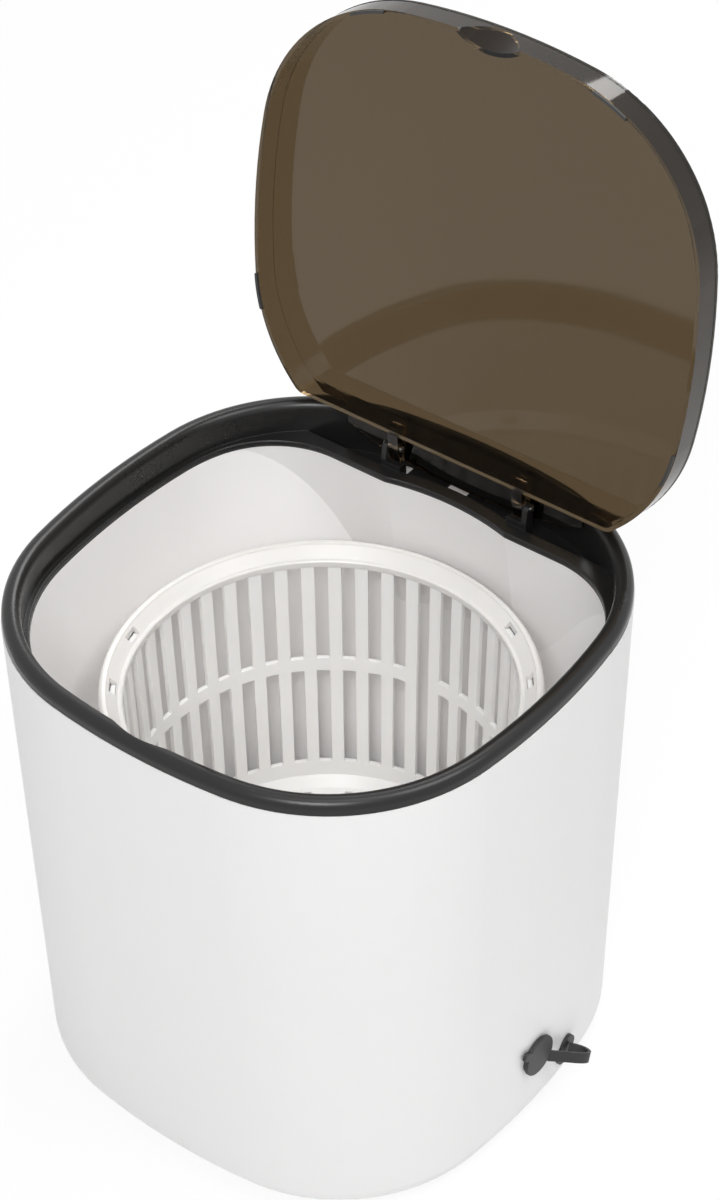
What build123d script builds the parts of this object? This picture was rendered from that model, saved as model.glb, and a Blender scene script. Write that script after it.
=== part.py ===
from build123d import *
import math
import os

os.makedirs("parts", exist_ok=True)

# Portable bucket washing machine. Millimetres, +Z up, origin at the centre of the face it rests on.
# The front, with the finger notch, faces -Y, the drain plug faces +X and the lid hinges at the back.

# Body: a soft square in plan, drawn with four flat arcs and four corner arcs
body_half = 135.0
side_radius = 359.6
corner_radius = 97.2
shell_top = 273.9
shell_bottom = 2.0
shell_taper = 1.22
shell_wall = 2.5
base_round = 12.0
base_opening_inset = 28.0

# Rim around the top
rim_top = 281.3
rim_inset = 0.4
rim_skirt_inset = 3.2
rim_wall = 2.0
nest_inset = 9.4
ledge_z = 264.5
ledge_thick = 2.5
opening_inset = 12.4
chord_y = 98.0
recess_half = 36.0
recess_depth = 4.8
notch_half = 18.5
notch_depth = 4.5
trough_base = 252.0
trough_floor = 254.5
trough_front = 105.0
chord_round = 50.0
mouth_edge_round = 0.7
crest_round = 4.3
trough_slots = [(-39.6, 118.5, 7.0, 8.5), (-8.4, 121.8, 12.0, 4.0), (24.5, 114.0, 6.0, 7.0)]

# Lid, drawn as it lies closed and then swung open about the hinge pins
hinge_y = 109.3
hinge_z = 275.3
open_angle = 97.3
lid_inset = 10.0
lid_squash = 3.0
lid_shift = -2.6
lid_skirt_bottom = 266.0
lid_wall = 2.0
lid_chord_y = 96.7
lid_corner = 8.0
skirt_inset = 0.2
scoop_radius = 30.0
scoop_depth = 6.0
scoop_taper = 25.5
arm_x = 37.0
arm_width = 6.0
knuckle_radius = 3.2
heel_reach = 8.0
pin_radius = 1.5

# Wash tub
tub_wall = 2.2
tub_top = ledge_z - ledge_thick - 0.8
tub_floor = 54.0
tub_round_z = 72.0
tub_low_radius = 106.0
tub_floor_round = 14.0
facet_angle = 9.0

# Spin basket and its snap-on ring
basket_ring_radius = 107.0
ring_draft = 1.1
basket_ring_top = 221.0
ring_lip_radius = 94.6
ring_lip_z = 214.0
basket_top_radius = 94.5
basket_low_radius = 90.5
basket_floor = 68.0
basket_wall = 2.2
slot_count = 44
slot_width = 6.8
slot_phase = 95.4
upper_slot = (152.5, 212.6)
lower_slot = (82.5, 144.5)

# Drive train
shaft_radius = 4.0
shaft_bottom = 6.8
shaft_head = 63.0
running_gap = 0.05
pulley_z = 9.0
pulley_height = 7.0
big_pulley_radius = 32.0
small_pulley_radius = 9.0
pulley_lip = 2.2
motor_x = -48.0
motor_y = -42.0
motor_radius = 27.0
bracket_z = 18.0
bracket_thick = 2.0
belt_gap = 0.4
belt_thick = 1.6
screw_radius = 1.5
screw_head = 2.8

# Drain on the right side, button on the left side, supply inlet at the back
drain_x = 82.0
drain_y = -1.5
drain_z = 45.5
drain_radius = 6.0
spout_outer = 6.2
spout_bore = 4.5
grommet_radius = 8.2
anchor_y = 26.0
anchor_z = 25.8
anchor_radius = 2.5
button_y = -20.0
button_z = 32.0
button_radius = 9.0
bezel_radius = 15.0
inlet_x = 40.0
inlet_z = 26.0
inlet_radius = 5.5


def outline(inset, squash=0.0, shift=0.0):
    """The body's soft square, set in by a constant margin, with squash off its half depth."""
    side = side_radius - inset
    corner = corner_radius - inset
    side_x = body_half - inset - side
    side_y = side_x - squash
    half_gap = math.hypot(side_x, side_y) / 2
    lift = math.sqrt((side - corner) ** 2 - half_gap**2) / (2 * half_gap)
    centre_x = side_x / 2 - side_y * lift
    centre_y = side_y / 2 - side_x * lift
    turn_x = math.degrees(math.atan2(centre_y, centre_x - side_x))
    turn_y = math.degrees(math.atan2(centre_x, centre_y - side_y))
    corner_turn = 90 - turn_x - turn_y
    with BuildSketch() as face:
        with BuildLine():
            CenterArc((side_x, shift), side, -turn_x, 2 * turn_x)
            CenterArc((centre_x, shift + centre_y), corner, turn_x, corner_turn)
            CenterArc((0, shift + side_y), side, 90 - turn_y, 2 * turn_y)
            CenterArc((-centre_x, shift + centre_y), corner, 90 + turn_y, corner_turn)
            CenterArc((-side_x, shift), side, 180 - turn_x, 2 * turn_x)
            CenterArc((-centre_x, shift - centre_y), corner, 180 + turn_x, corner_turn)
            CenterArc((0, shift - side_y), side, 270 - turn_y, 2 * turn_y)
            CenterArc((centre_x, shift - centre_y), corner, 270 + turn_y, corner_turn)
        make_face()
    return face.sketch


def round_outline(radius):
    """A circle cut at the same eight bearings as the soft square, so that the two loft cleanly."""
    corner_bearing = 20.0
    with BuildSketch() as face:
        with BuildLine():
            for quarter in range(4):
                CenterArc((0, 0), radius, 90 * quarter - corner_bearing, 2 * corner_bearing)
                CenterArc((0, 0), radius, 90 * quarter + corner_bearing, 90 - 2 * corner_bearing)
        make_face()
    return face.sketch


def opening(inset, chord, corner_round):
    """The mouth of the tub: a soft square with a straight hinge side and a shallow bow in it."""
    bow_side = chord - 4.0
    with BuildSketch() as face:
        add(outline(inset))
        with Locations((0, chord + body_half)):
            Rectangle(4 * body_half, 2 * body_half, mode=Mode.SUBTRACT)
        fillet(face.vertices().group_by(Axis.Y)[-1], corner_round)
        with BuildLine():
            Polyline(
                (-recess_half, chord),
                (-recess_half, bow_side),
                (recess_half, bow_side),
                (recess_half, chord),
            )
            ThreePointArc((recess_half, chord), (0, chord + recess_depth), (-recess_half, chord))
        make_face()
    return face.sketch


def behind(inset, y_line):
    """The part of a soft square behind a line that bows back at its middle, as the tub does."""
    bow_radius = (recess_half**2 + recess_depth**2) / (2 * recess_depth)
    with BuildSketch() as face:
        add(outline(inset))
        with Locations((0, y_line - 2 * body_half)):
            Rectangle(4 * body_half, 4 * body_half, mode=Mode.SUBTRACT)
        with Locations((0, y_line + recess_depth - bow_radius)):
            Circle(bow_radius, mode=Mode.SUBTRACT)
    return face.sketch


def shell_block(inset, top, bottom, edge_round):
    """A tapered body of the shell's shape with its bottom edge rounded."""
    with BuildPart() as block:
        with BuildSketch(Plane.XY.offset(top)):
            add(outline(inset - (top - shell_top) * math.tan(math.radians(shell_taper))))
        extrude(amount=-(top - bottom), taper=shell_taper)
        fillet(block.faces().sort_by(Axis.Z)[0].edges(), edge_round)
    return block.part


def tub_block(grow, top, bottom, edge_round):
    """The tub's space: a soft square at the top that turns round at the bottom."""
    with BuildPart() as block:
        with BuildSketch(Plane.XY.offset(top)):
            add(outline(opening_inset - grow))
        with BuildSketch(Plane.XY.offset(tub_round_z)):
            add(round_outline(tub_low_radius + grow))
        loft(ruled=True)
        with BuildSketch(Plane.XY.offset(tub_round_z)):
            add(round_outline(tub_low_radius + grow))
        extrude(amount=-(tub_round_z - bottom), taper=3)
        fillet(block.faces().sort_by(Axis.Z)[0].edges(), edge_round)
    return block.part


def facet_block(grow):
    """What the flat hinge side takes off the back of the tub, behind its leaning mouth line."""
    lean = math.tan(math.radians(facet_angle))
    high = tub_top + 4.0
    low = 140.0
    front = 60.0
    wall_overlap = 0.3
    line = chord_y + grow - lean * (high - tub_top)
    with BuildPart() as block:
        with BuildSketch(Plane.XY.offset(high)):
            with Locations((0, (front + 2 * body_half) / 2)):
                Rectangle(3 * body_half, 2 * body_half - front)
            add(opening(opening_inset - grow - wall_overlap, line, chord_round + grow), mode=Mode.SUBTRACT)
        extrude(amount=(high - low) / math.cos(math.radians(facet_angle)), dir=(0, lean, -1))
    return block.part


def ring_of(inner, outer, low, high):
    """A plain round ring about the machine's axis."""
    with BuildPart() as ring:
        with BuildSketch(Plane.XY.offset(low)):
            Circle(outer)
            Circle(inner, mode=Mode.SUBTRACT)
        extrude(amount=high - low)
    return ring.part


def pan_screw(head_radius, head_height, shank_radius, shank_length):
    """A cross-recess screw standing on its head, shank up, with its head's underside at z = 0."""
    with BuildPart() as screw:
        with BuildSketch(Plane.XY.offset(-head_height)):
            Circle(head_radius)
        extrude(amount=head_height)
        fillet(screw.faces().sort_by(Axis.Z)[0].edges(), head_height * 0.4)
        with BuildSketch(Plane.XY):
            Circle(shank_radius)
        extrude(amount=shank_length)
        with BuildSketch(Plane.XY.offset(-head_height)):
            Rectangle(head_radius * 1.1, head_radius * 0.25)
            Rectangle(head_radius * 0.25, head_radius * 1.1)
        extrude(amount=head_height * 0.5, mode=Mode.SUBTRACT)
    return screw.part


def along_x(plane_y, plane_z, facing=1, plane_x=0.0):
    """A plane square to X, whose own x runs along Y and whose normal points the way it faces."""
    return Plane(origin=(plane_x, plane_y, plane_z), x_dir=(0, facing, 0), z_dir=(facing, 0, 0))


def along_y(plane_x, plane_z, plane_y=0.0):
    """A plane square to Y, whose own x runs against X."""
    return Plane(origin=(plane_x, plane_y, plane_z), x_dir=(-1, 0, 0), z_dir=(0, 1, 0))


# Outer shell, open at the bottom where the base pan closes it
shell_outside = shell_block(0.0, shell_top, shell_bottom, base_round)
shell_inside = shell_block(shell_wall, shell_top + 1.0, shell_bottom + shell_wall, base_round - shell_wall)
base_screw_at = 87.5
with BuildPart() as outer_shell:
    add(shell_outside)
    add(shell_inside, mode=Mode.SUBTRACT)
    with BuildSketch(Plane.XY):
        add(outline(base_opening_inset))
    extrude(amount=base_round, mode=Mode.SUBTRACT)
    with BuildSketch(Plane.XY):
        with GridLocations(2 * base_screw_at, 2 * base_screw_at, 2, 2):
            Circle(screw_radius)
    extrude(amount=base_round, mode=Mode.SUBTRACT)
    with BuildSketch(along_x(drain_y, drain_z)):
        Circle(grommet_radius)
    extrude(amount=body_half, mode=Mode.SUBTRACT)
    with BuildSketch(along_x(anchor_y, anchor_z)):
        Circle(anchor_radius)
    extrude(amount=body_half, mode=Mode.SUBTRACT)
    with BuildSketch(along_x(button_y, button_z, -1)):
        Circle(bezel_radius - 2.0)
    extrude(amount=body_half, mode=Mode.SUBTRACT)
    with BuildSketch(along_y(inlet_x, inlet_z)):
        Circle(inlet_radius)
    extrude(amount=body_half, mode=Mode.SUBTRACT)
outer_shell.part.label = "outer_shell"
export_step(outer_shell.part, "parts/outer_shell.step")

# Top rim: a rounded bead, a ledge for the lid and a trough behind the hinge side
ear_thick = 3.0
ear_offset = (arm_width + ear_thick) / 2 + 0.5
ear_front = trough_front
ear_back = 110.4
pad_drop = heel_reach + 0.06
swing = math.radians(open_angle)


def pad_z(y):
    """Height of the stop pad's sloped top under the heel of an open lid arm."""
    return hinge_z - (pad_drop + (y - hinge_y) * -math.cos(swing)) / math.sin(swing)


with BuildPart() as top_rim:
    with BuildSketch(Plane.XY.offset(shell_top)):
        add(outline(rim_inset))
    extrude(amount=rim_top - shell_top)
    with BuildSketch(Plane.XY.offset(trough_base)):
        add(outline(rim_skirt_inset))
    extrude(amount=shell_top - trough_base)
    with BuildSketch(Plane.XY.offset(ledge_z)):
        add(outline(nest_inset))
    extrude(amount=rim_top - ledge_z, mode=Mode.SUBTRACT)
    crest = top_rim.faces().filter_by(Plane.XY).sort_by(Axis.Z)[-1]
    fillet(crest.edges(), crest_round)
    with BuildSketch(Plane.XY.offset(trough_base)):
        add(outline(rim_skirt_inset + rim_wall))
    extrude(amount=ledge_z - ledge_thick - trough_base, mode=Mode.SUBTRACT)
    with BuildSketch(Plane.XY.offset(ledge_z - ledge_thick)):
        add(outline(rim_skirt_inset + rim_wall))
        add(outline(nest_inset - rim_wall), mode=Mode.SUBTRACT)
    extrude(amount=rim_top - 4.5 - ledge_z + ledge_thick, mode=Mode.SUBTRACT)
    with BuildSketch(Plane.XY.offset(trough_base)):
        add(behind(nest_inset - rim_wall, trough_front - rim_wall))
    extrude(amount=ledge_z - trough_base)
    with BuildSketch(Plane.XY.offset(trough_floor)):
        add(behind(nest_inset, trough_front))
    extrude(amount=ledge_z - trough_floor, mode=Mode.SUBTRACT)
    with BuildSketch(Plane.XY.offset(trough_base)):
        add(opening(opening_inset, chord_y, chord_round))
    extrude(amount=ledge_z - trough_base, mode=Mode.SUBTRACT)
    ledge_faces = top_rim.faces().filter_by_position(Axis.Z, ledge_z - 0.01, ledge_z + 0.01)
    mouth_edge = ledge_faces.sort_by(SortBy.AREA)[-1].inner_wires()[0]
    fillet(mouth_edge.edges(), mouth_edge_round)
    for side in (-1, 1):
        with BuildSketch(Plane.YZ.offset(side * (arm_x + ear_offset) - ear_thick / 2)):
            with BuildLine():
                Polyline(
                    (hinge_y + knuckle_radius - 0.4, hinge_z),
                    (ear_back, hinge_z - 5.0),
                    (ear_back, trough_floor - 1.0),
                    (ear_front, trough_floor - 1.0),
                    (ear_front, hinge_z - 7.0),
                    (hinge_y - knuckle_radius, hinge_z),
                )
                RadiusArc(
                    (hinge_y - knuckle_radius, hinge_z),
                    (hinge_y + knuckle_radius - 0.4, hinge_z),
                    knuckle_radius,
                )
            make_face()
        extrude(amount=ear_thick)
        with BuildSketch(Plane.YZ.offset(side * arm_x - ear_offset)):
            with BuildLine():
                Polyline(
                    (ear_front, trough_floor - 1.0),
                    (ear_back, trough_floor - 1.0),
                    (ear_back, pad_z(ear_back)),
                    (ear_front, pad_z(ear_front)),
                    close=True,
                )
            make_face()
        extrude(amount=2 * ear_offset)
        with BuildSketch(Plane.YZ.offset(side * arm_x)):
            with Locations((hinge_y, hinge_z)):
                Circle(pin_radius)
        extrude(amount=2 * ear_offset, both=True, mode=Mode.SUBTRACT)
    with BuildSketch(Plane.XY.offset(trough_base)):
        for spot_x, spot_y, spot_width, spot_depth in trough_slots:
            with Locations((spot_x, spot_y)):
                Rectangle(spot_width, spot_depth)
    extrude(amount=trough_floor - trough_base, mode=Mode.SUBTRACT)
    notch_radius = (notch_half**2 + notch_depth**2) / (2 * notch_depth)
    with BuildSketch(Plane.XY.offset(ledge_z)):
        with Locations((0, notch_radius - notch_depth - body_half + nest_inset)):
            Circle(notch_radius)
    extrude(amount=rim_top - ledge_z, mode=Mode.SUBTRACT)
top_rim.part.label = "top_rim"
export_step(top_rim.part, "parts/top_rim.step")

# Rubber gasket between the rim's ledge and the tub's flange
flange_back = trough_front - rim_wall - 0.4
with BuildPart() as rim_gasket:
    with BuildSketch(Plane.XY.offset(tub_top)):
        add(outline(nest_inset - rim_wall))
        add(behind(0.0, flange_back), mode=Mode.SUBTRACT)
        add(opening(opening_inset, chord_y, chord_round), mode=Mode.SUBTRACT)
    extrude(amount=ledge_z - ledge_thick - tub_top)
rim_gasket.part.label = "rim_gasket"
export_step(rim_gasket.part, "parts/rim_gasket.step")

# Wash tub with its flange, the snap tabs that come up through the rim's trough, shaft and drain holes,
# and the posts that carry the drive
flange_thick = 2.0
tab_gap = 0.4
tab_low = 246.0
tab_high = trough_floor - 0.7
tub_bottom = tub_floor - tub_wall
seal_radius = 11.0
housing_z = 40.8
housing_reach = 24.0
post_radius = 4.0
post_hole = 6.5
motor_turn = math.atan2(motor_y, motor_x)
lug_reach = 34.0
lug_spots = []
for way in (-1, 1):
    lug_x = motor_x - way * lug_reach * math.sin(motor_turn)
    lug_y = motor_y + way * lug_reach * math.cos(motor_turn)
    lug_spots.append((lug_x, lug_y))
with BuildPart() as wash_tub:
    add(tub_block(tub_wall, tub_top, tub_bottom, tub_floor_round + tub_wall))
    add(facet_block(tub_wall), mode=Mode.SUBTRACT)
    for spot_x, spot_y, spot_width, spot_depth in trough_slots:
        tab_back = spot_y + spot_depth / 2 - tab_gap
        with BuildSketch(Plane.XY.offset(tab_low)):
            with Locations((spot_x, (chord_y + tab_back) / 2)):
                Rectangle(spot_width - 2 * tab_gap, tab_back - chord_y)
        extrude(amount=trough_base - 0.4 - tab_low)
        with BuildSketch(Plane.XY.offset(tab_low)):
            with Locations((spot_x, spot_y)):
                Rectangle(spot_width - 2 * tab_gap, spot_depth - 2 * tab_gap)
        extrude(amount=tab_high - tab_low)
    with BuildSketch(Plane.XY.offset(tub_top - flange_thick)):
        add(outline(nest_inset - rim_wall))
        add(behind(0.0, flange_back), mode=Mode.SUBTRACT)
    extrude(amount=flange_thick)
    add(tub_block(0.0, tub_top, tub_floor, tub_floor_round) - facet_block(0.0), mode=Mode.SUBTRACT)
    with BuildSketch(Plane.XY.offset(tub_bottom)):
        Circle(seal_radius)
        with Locations((drain_x, drain_y)):
            Circle(drain_radius)
    extrude(amount=tub_wall, mode=Mode.SUBTRACT)
    with BuildSketch(Plane.XY.offset(housing_z + 3.0)):
        with PolarLocations(housing_reach, 4, start_angle=45):
            Circle(post_radius)
    extrude(amount=tub_bottom - housing_z - 3.0)
    with BuildSketch(Plane.XY.offset(bracket_z + bracket_thick)):
        with Locations(lug_spots):
            Circle(post_radius)
    extrude(amount=tub_bottom - bracket_z - bracket_thick)
    with BuildSketch(Plane.XY.offset(housing_z + 3.0)):
        with PolarLocations(housing_reach, 4, start_angle=45):
            Circle(screw_radius)
    extrude(amount=post_hole, mode=Mode.SUBTRACT)
    with BuildSketch(Plane.XY.offset(bracket_z + bracket_thick)):
        with Locations(lug_spots):
            Circle(screw_radius)
    extrude(amount=post_hole, mode=Mode.SUBTRACT)
wash_tub.part.label = "wash_tub"
export_step(wash_tub.part, "parts/wash_tub.step")

# Base pan, dropped in from above and screwed up through the shell's bottom lip
pan_thick = 2.5
pan_flange_inset = 18.6
foot_inner = 94.0
foot_outer = 102.0
foot_seat = 3.2
base_screw_length = 8.0
lip_top = shell_bottom + shell_wall
with BuildPart() as base_pan:
    with BuildSketch(Plane.XY.offset(lip_top)):
        add(outline(pan_flange_inset))
    extrude(amount=pan_thick)
    with BuildSketch(Plane.XY.offset(shell_bottom)):
        add(outline(base_opening_inset + 0.4))
    extrude(amount=shell_wall)
    with BuildSketch(Plane.XY.offset(shell_bottom + pan_thick)):
        add(outline(base_opening_inset + 0.4 + pan_thick))
    extrude(amount=pan_thick, mode=Mode.SUBTRACT)
    with BuildSketch(Plane.XY.offset(shell_bottom)):
        Circle(foot_outer)
        Circle(foot_inner, mode=Mode.SUBTRACT)
    extrude(amount=foot_seat - shell_bottom, mode=Mode.SUBTRACT)
    with BuildSketch(Plane.XY.offset(lip_top + pan_thick)):
        with GridLocations(2 * base_screw_at, 2 * base_screw_at, 2, 2):
            Circle(post_radius)
    extrude(amount=3.5)
    with BuildSketch(Plane.XY.offset(lip_top)):
        with GridLocations(2 * base_screw_at, 2 * base_screw_at, 2, 2):
            Circle(screw_radius)
    extrude(amount=5.5, mode=Mode.SUBTRACT)
base_pan.part.label = "base_pan"
export_step(base_pan.part, "parts/base_pan.step")

with BuildPart() as foot_ring:
    add(ring_of(foot_inner, foot_outer, 0.0, foot_seat))
    fillet(foot_ring.faces().sort_by(Axis.Z)[0].edges(), 0.8)
foot_ring.part.label = "foot_ring"
export_step(foot_ring.part, "parts/foot_ring.step")

base_screw = pan_screw(screw_head, 1.5, screw_radius, base_screw_length)
with BuildPart() as base_screws:
    with Locations(Plane.XY.offset(shell_bottom)):
        with GridLocations(2 * base_screw_at, 2 * base_screw_at, 2, 2):
            add(base_screw)
base_screws.part.label = "base_screws"
export_step(base_screws.part, "parts/base_screws.step")

# Bearing housing under the tub, with two ball bearings and the water seal
sleeve_radius = 14.0
bearing_radius = 11.0
bearing_height = 7.0
groove_inner = 6.2
groove_outer = 9.0
upper_bearing_z = housing_z + 0.7
lower_bearing_z = 22.0
sleeve_bottom = 21.0
flange_radius = 29.0
housing_flange = 3.0
with BuildPart() as bearing_housing:
    with BuildSketch(Plane.XY.offset(housing_z)):
        Circle(flange_radius)
        with PolarLocations(housing_reach, 4, start_angle=45):
            Circle(screw_radius, mode=Mode.SUBTRACT)
    extrude(amount=housing_flange)
    with BuildSketch(Plane.XY.offset(sleeve_bottom)):
        Circle(sleeve_radius)
    extrude(amount=tub_bottom - sleeve_bottom)
    for turn in range(4):
        with BuildSketch(Plane.XZ.rotated((0, 0, 90 * turn)).offset(-1.2)):
            with BuildLine():
                Polyline(
                    (sleeve_radius - 1, housing_z),
                    (flange_radius - 2, housing_z),
                    (sleeve_radius - 1, sleeve_bottom + 4),
                    close=True,
                )
            make_face()
        extrude(amount=2.4)
    with BuildSketch(Plane.XY.offset(sleeve_bottom)):
        Circle(bearing_radius)
    extrude(amount=lower_bearing_z + bearing_height - sleeve_bottom, mode=Mode.SUBTRACT)
    with BuildSketch(Plane.XY.offset(lower_bearing_z)):
        Circle(bearing_radius - 1.5)
    extrude(amount=upper_bearing_z - lower_bearing_z, mode=Mode.SUBTRACT)
    with BuildSketch(Plane.XY.offset(upper_bearing_z)):
        Circle(bearing_radius)
    extrude(amount=tub_bottom - upper_bearing_z, mode=Mode.SUBTRACT)
bearing_housing.part.label = "bearing_housing"
export_step(bearing_housing.part, "parts/bearing_housing.step")


def bearing(low):
    """A shielded ball bearing, with the groove between its rings shown in both faces."""
    with BuildPart() as unit:
        add(ring_of(shaft_radius + running_gap, bearing_radius, low, low + bearing_height))
        for face_z in (low, low + bearing_height - 0.6):
            add(ring_of(groove_inner, groove_outer, face_z, face_z + 0.6), mode=Mode.SUBTRACT)
    return unit.part


with BuildPart() as upper_bearing:
    add(bearing(upper_bearing_z))
upper_bearing.part.label = "upper_bearing"
export_step(upper_bearing.part, "parts/upper_bearing.step")

with BuildPart() as lower_bearing:
    add(bearing(lower_bearing_z))
lower_bearing.part.label = "lower_bearing"
export_step(lower_bearing.part, "parts/lower_bearing.step")

with BuildPart() as shaft_seal:
    with BuildSketch(Plane.XZ):
        with BuildLine():
            Polyline(
                (shaft_radius + running_gap, tub_bottom + 0.6),
                (shaft_radius + running_gap, tub_bottom + 1.6),
                (7.0, tub_floor + 0.6),
                (seal_radius, tub_floor + 0.6),
                (seal_radius, upper_bearing_z + bearing_height + 0.5),
                (8.0, upper_bearing_z + bearing_height + 0.5),
                (8.0, tub_bottom - 0.6),
                close=True,
            )
        make_face()
    revolve(axis=Axis.Z)
shaft_seal.part.label = "shaft_seal"
export_step(shaft_seal.part, "parts/shaft_seal.step")

# Pulsator on its shaft
hub_low = tub_floor + 1.2
disc_low = 57.0
disc_top = 60.5
disc_radius = 75.0
vane_top = 63.8
shoulder_top = 64.5
shoulder_radius = 15.0
drive_square = 18.0
square_top = 74.5
head_seat = 71.5
screw_bore = 2.0
screw_length = 14.0
with BuildPart() as pulsator:
    with BuildSketch(Plane.XZ):
        with BuildLine():
            Polyline(
                (0, hub_low),
                (8.0, hub_low),
                (8.0, disc_low),
                (disc_radius - 1.5, disc_low),
                (disc_radius, disc_low + 1.5),
                (disc_radius, disc_top - 1.0),
                (disc_radius - 1.5, disc_top),
                (shoulder_radius + 5.0, disc_top + 0.5),
                (shoulder_radius, shoulder_top),
                (0, shoulder_top),
                close=True,
            )
        make_face()
    revolve(axis=Axis.Z)
    for turn in range(4):
        with BuildSketch(Plane.XZ.rotated((0, 0, 90 * turn + 45)).offset(-3.0)):
            with BuildLine():
                Polyline(
                    (shoulder_radius + 3.0, disc_top - 1.0),
                    (disc_radius - 5.0, disc_top - 1.0),
                    (disc_radius - 12.0, vane_top),
                    (shoulder_radius + 6.0, vane_top),
                    close=True,
                )
            make_face()
        extrude(amount=6.0)
    with BuildSketch(Plane.XY.offset(shoulder_top)):
        Rectangle(drive_square, drive_square)
    extrude(amount=square_top - shoulder_top)
    chamfer(pulsator.faces().sort_by(Axis.Z)[-1].edges(), 1.2)
    with BuildSketch(Plane.XY.offset(hub_low)):
        Circle(shaft_radius)
    extrude(amount=shaft_head - hub_low, mode=Mode.SUBTRACT)
    with BuildSketch(Plane.XY.offset(shaft_head)):
        Circle(screw_bore)
    extrude(amount=square_top - shaft_head, mode=Mode.SUBTRACT)
    with BuildSketch(Plane.XY.offset(head_seat)):
        Circle(screw_head + 1.6)
    extrude(amount=square_top - head_seat, mode=Mode.SUBTRACT)
pulsator.part.label = "pulsator"
export_step(pulsator.part, "parts/pulsator.step")

with BuildPart() as pulsator_screw:
    with Locations(Location((0, 0, head_seat), (180, 0, 0))):
        add(pan_screw(4.0, 2.4, screw_bore, screw_length))
pulsator_screw.part.label = "pulsator_screw"
export_step(pulsator_screw.part, "parts/pulsator_screw.step")

flat_depth = 0.8
clip_low = 20.6
clip_thick = 1.0
clip_groove = 0.4
with BuildPart() as drive_shaft:
    with BuildSketch(Plane.XY.offset(shaft_bottom)):
        Circle(shaft_radius)
    extrude(amount=shaft_head - shaft_bottom)
    with BuildSketch(Plane.XY.offset(shaft_bottom)):
        with Locations((shaft_radius, 0)):
            Rectangle(2 * flat_depth, 2 * shaft_radius)
    extrude(amount=pulley_z + pulley_height - shaft_bottom, mode=Mode.SUBTRACT)
    with BuildSketch(Plane.XY.offset(head_seat - screw_length)):
        Circle(screw_bore)
    extrude(amount=shaft_head - head_seat + screw_length, mode=Mode.SUBTRACT)
    clip_seat = ring_of(shaft_radius - clip_groove, shaft_radius + 1.0, clip_low, clip_low + clip_thick)
    add(clip_seat, mode=Mode.SUBTRACT)
drive_shaft.part.label = "drive_shaft"
export_step(drive_shaft.part, "parts/drive_shaft.step")

with BuildPart() as circlip:
    with BuildSketch(Plane.XY.offset(clip_low)):
        Circle(6.2)
        Circle(shaft_radius - clip_groove, mode=Mode.SUBTRACT)
        with Locations((-6.0, 0)):
            Rectangle(6.0, 3.0, mode=Mode.SUBTRACT)
    extrude(amount=clip_thick)
circlip.part.label = "circlip"
export_step(circlip.part, "parts/circlip.step")


def pulley(radius, bore, flat, hub_radius):
    """A flanged belt pulley whose bore has a flat that drives it."""
    with BuildPart() as wheel:
        with BuildSketch(Plane.XZ):
            with BuildLine():
                Polyline(
                    (0, pulley_z),
                    (radius + pulley_lip, pulley_z),
                    (radius + pulley_lip, pulley_z + 0.8),
                    (radius, pulley_z + 1.2),
                    (radius, pulley_z + pulley_height - 1.2),
                    (radius + pulley_lip, pulley_z + pulley_height - 0.8),
                    (radius + pulley_lip, pulley_z + pulley_height),
                    (0, pulley_z + pulley_height),
                    close=True,
                )
            make_face()
        revolve(axis=Axis.Z)
        if hub_radius < radius - 8:
            middle = (hub_radius + radius - 4.0) / 2
            with BuildSketch(Plane.XY.offset(pulley_z)):
                with PolarLocations(middle, 5):
                    Circle((radius - 4.0 - hub_radius) / 2 - 0.5)
            extrude(amount=pulley_height, mode=Mode.SUBTRACT)
        with BuildSketch(Plane.XY.offset(pulley_z)):
            Circle(bore)
            with Locations((bore, 0)):
                Rectangle(2 * flat, 2 * bore, mode=Mode.SUBTRACT)
        extrude(amount=pulley_height, mode=Mode.SUBTRACT)
    return wheel.part


with BuildPart() as shaft_pulley:
    add(pulley(big_pulley_radius, shaft_radius, flat_depth, 9.0))
shaft_pulley.part.label = "shaft_pulley"
export_step(shaft_pulley.part, "parts/shaft_pulley.step")

with BuildPart() as pulley_nut:
    with BuildSketch(Plane.XY.offset(shaft_bottom)):
        RegularPolygon(7.0, 6)
        Circle(shaft_radius, mode=Mode.SUBTRACT)
    extrude(amount=pulley_z - shaft_bottom)
    with BuildSketch(Plane.XY.offset(shaft_bottom)):
        with Locations((shaft_radius, 0)):
            Rectangle(2 * flat_depth, 4.0)
    extrude(amount=pulley_z - shaft_bottom)
pulley_nut.part.label = "pulley_nut"
export_step(pulley_nut.part, "parts/pulley_nut.step")

# Motor hung on a bracket under the tub, with its pulley and the belt
can_height = 28.0
motor_shaft_radius = 2.0
bracket_top = bracket_z + bracket_thick
motor_screw_reach = 16.0
motor_screw_spots = []
for way in (-1, 1):
    spot_x = motor_x + way * motor_screw_reach * math.cos(motor_turn)
    spot_y = motor_y + way * motor_screw_reach * math.sin(motor_turn)
    motor_screw_spots.append((spot_x, spot_y))
with BuildPart() as motor_can:
    with BuildSketch(Plane.XY.offset(bracket_top)):
        with Locations((motor_x, motor_y)):
            Circle(motor_radius)
    extrude(amount=can_height)
    fillet(motor_can.faces().sort_by(Axis.Z)[-1].edges(), 3.0)
    with BuildSketch(Plane.XY.offset(bracket_top + can_height)):
        with Locations((motor_x, motor_y)):
            Circle(7.0)
    extrude(amount=2.0)
    with BuildSketch(Plane.XY.offset(bracket_top)):
        with Locations((motor_x, motor_y)):
            Circle(motor_shaft_radius + running_gap)
    extrude(amount=can_height - 4.0, mode=Mode.SUBTRACT)
    with BuildSketch(Plane.XY.offset(bracket_top)):
        with Locations(motor_screw_spots):
            Circle(screw_radius)
    extrude(amount=post_hole, mode=Mode.SUBTRACT)
motor_can.part.label = "motor_can"
export_step(motor_can.part, "parts/motor_can.step")

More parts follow.
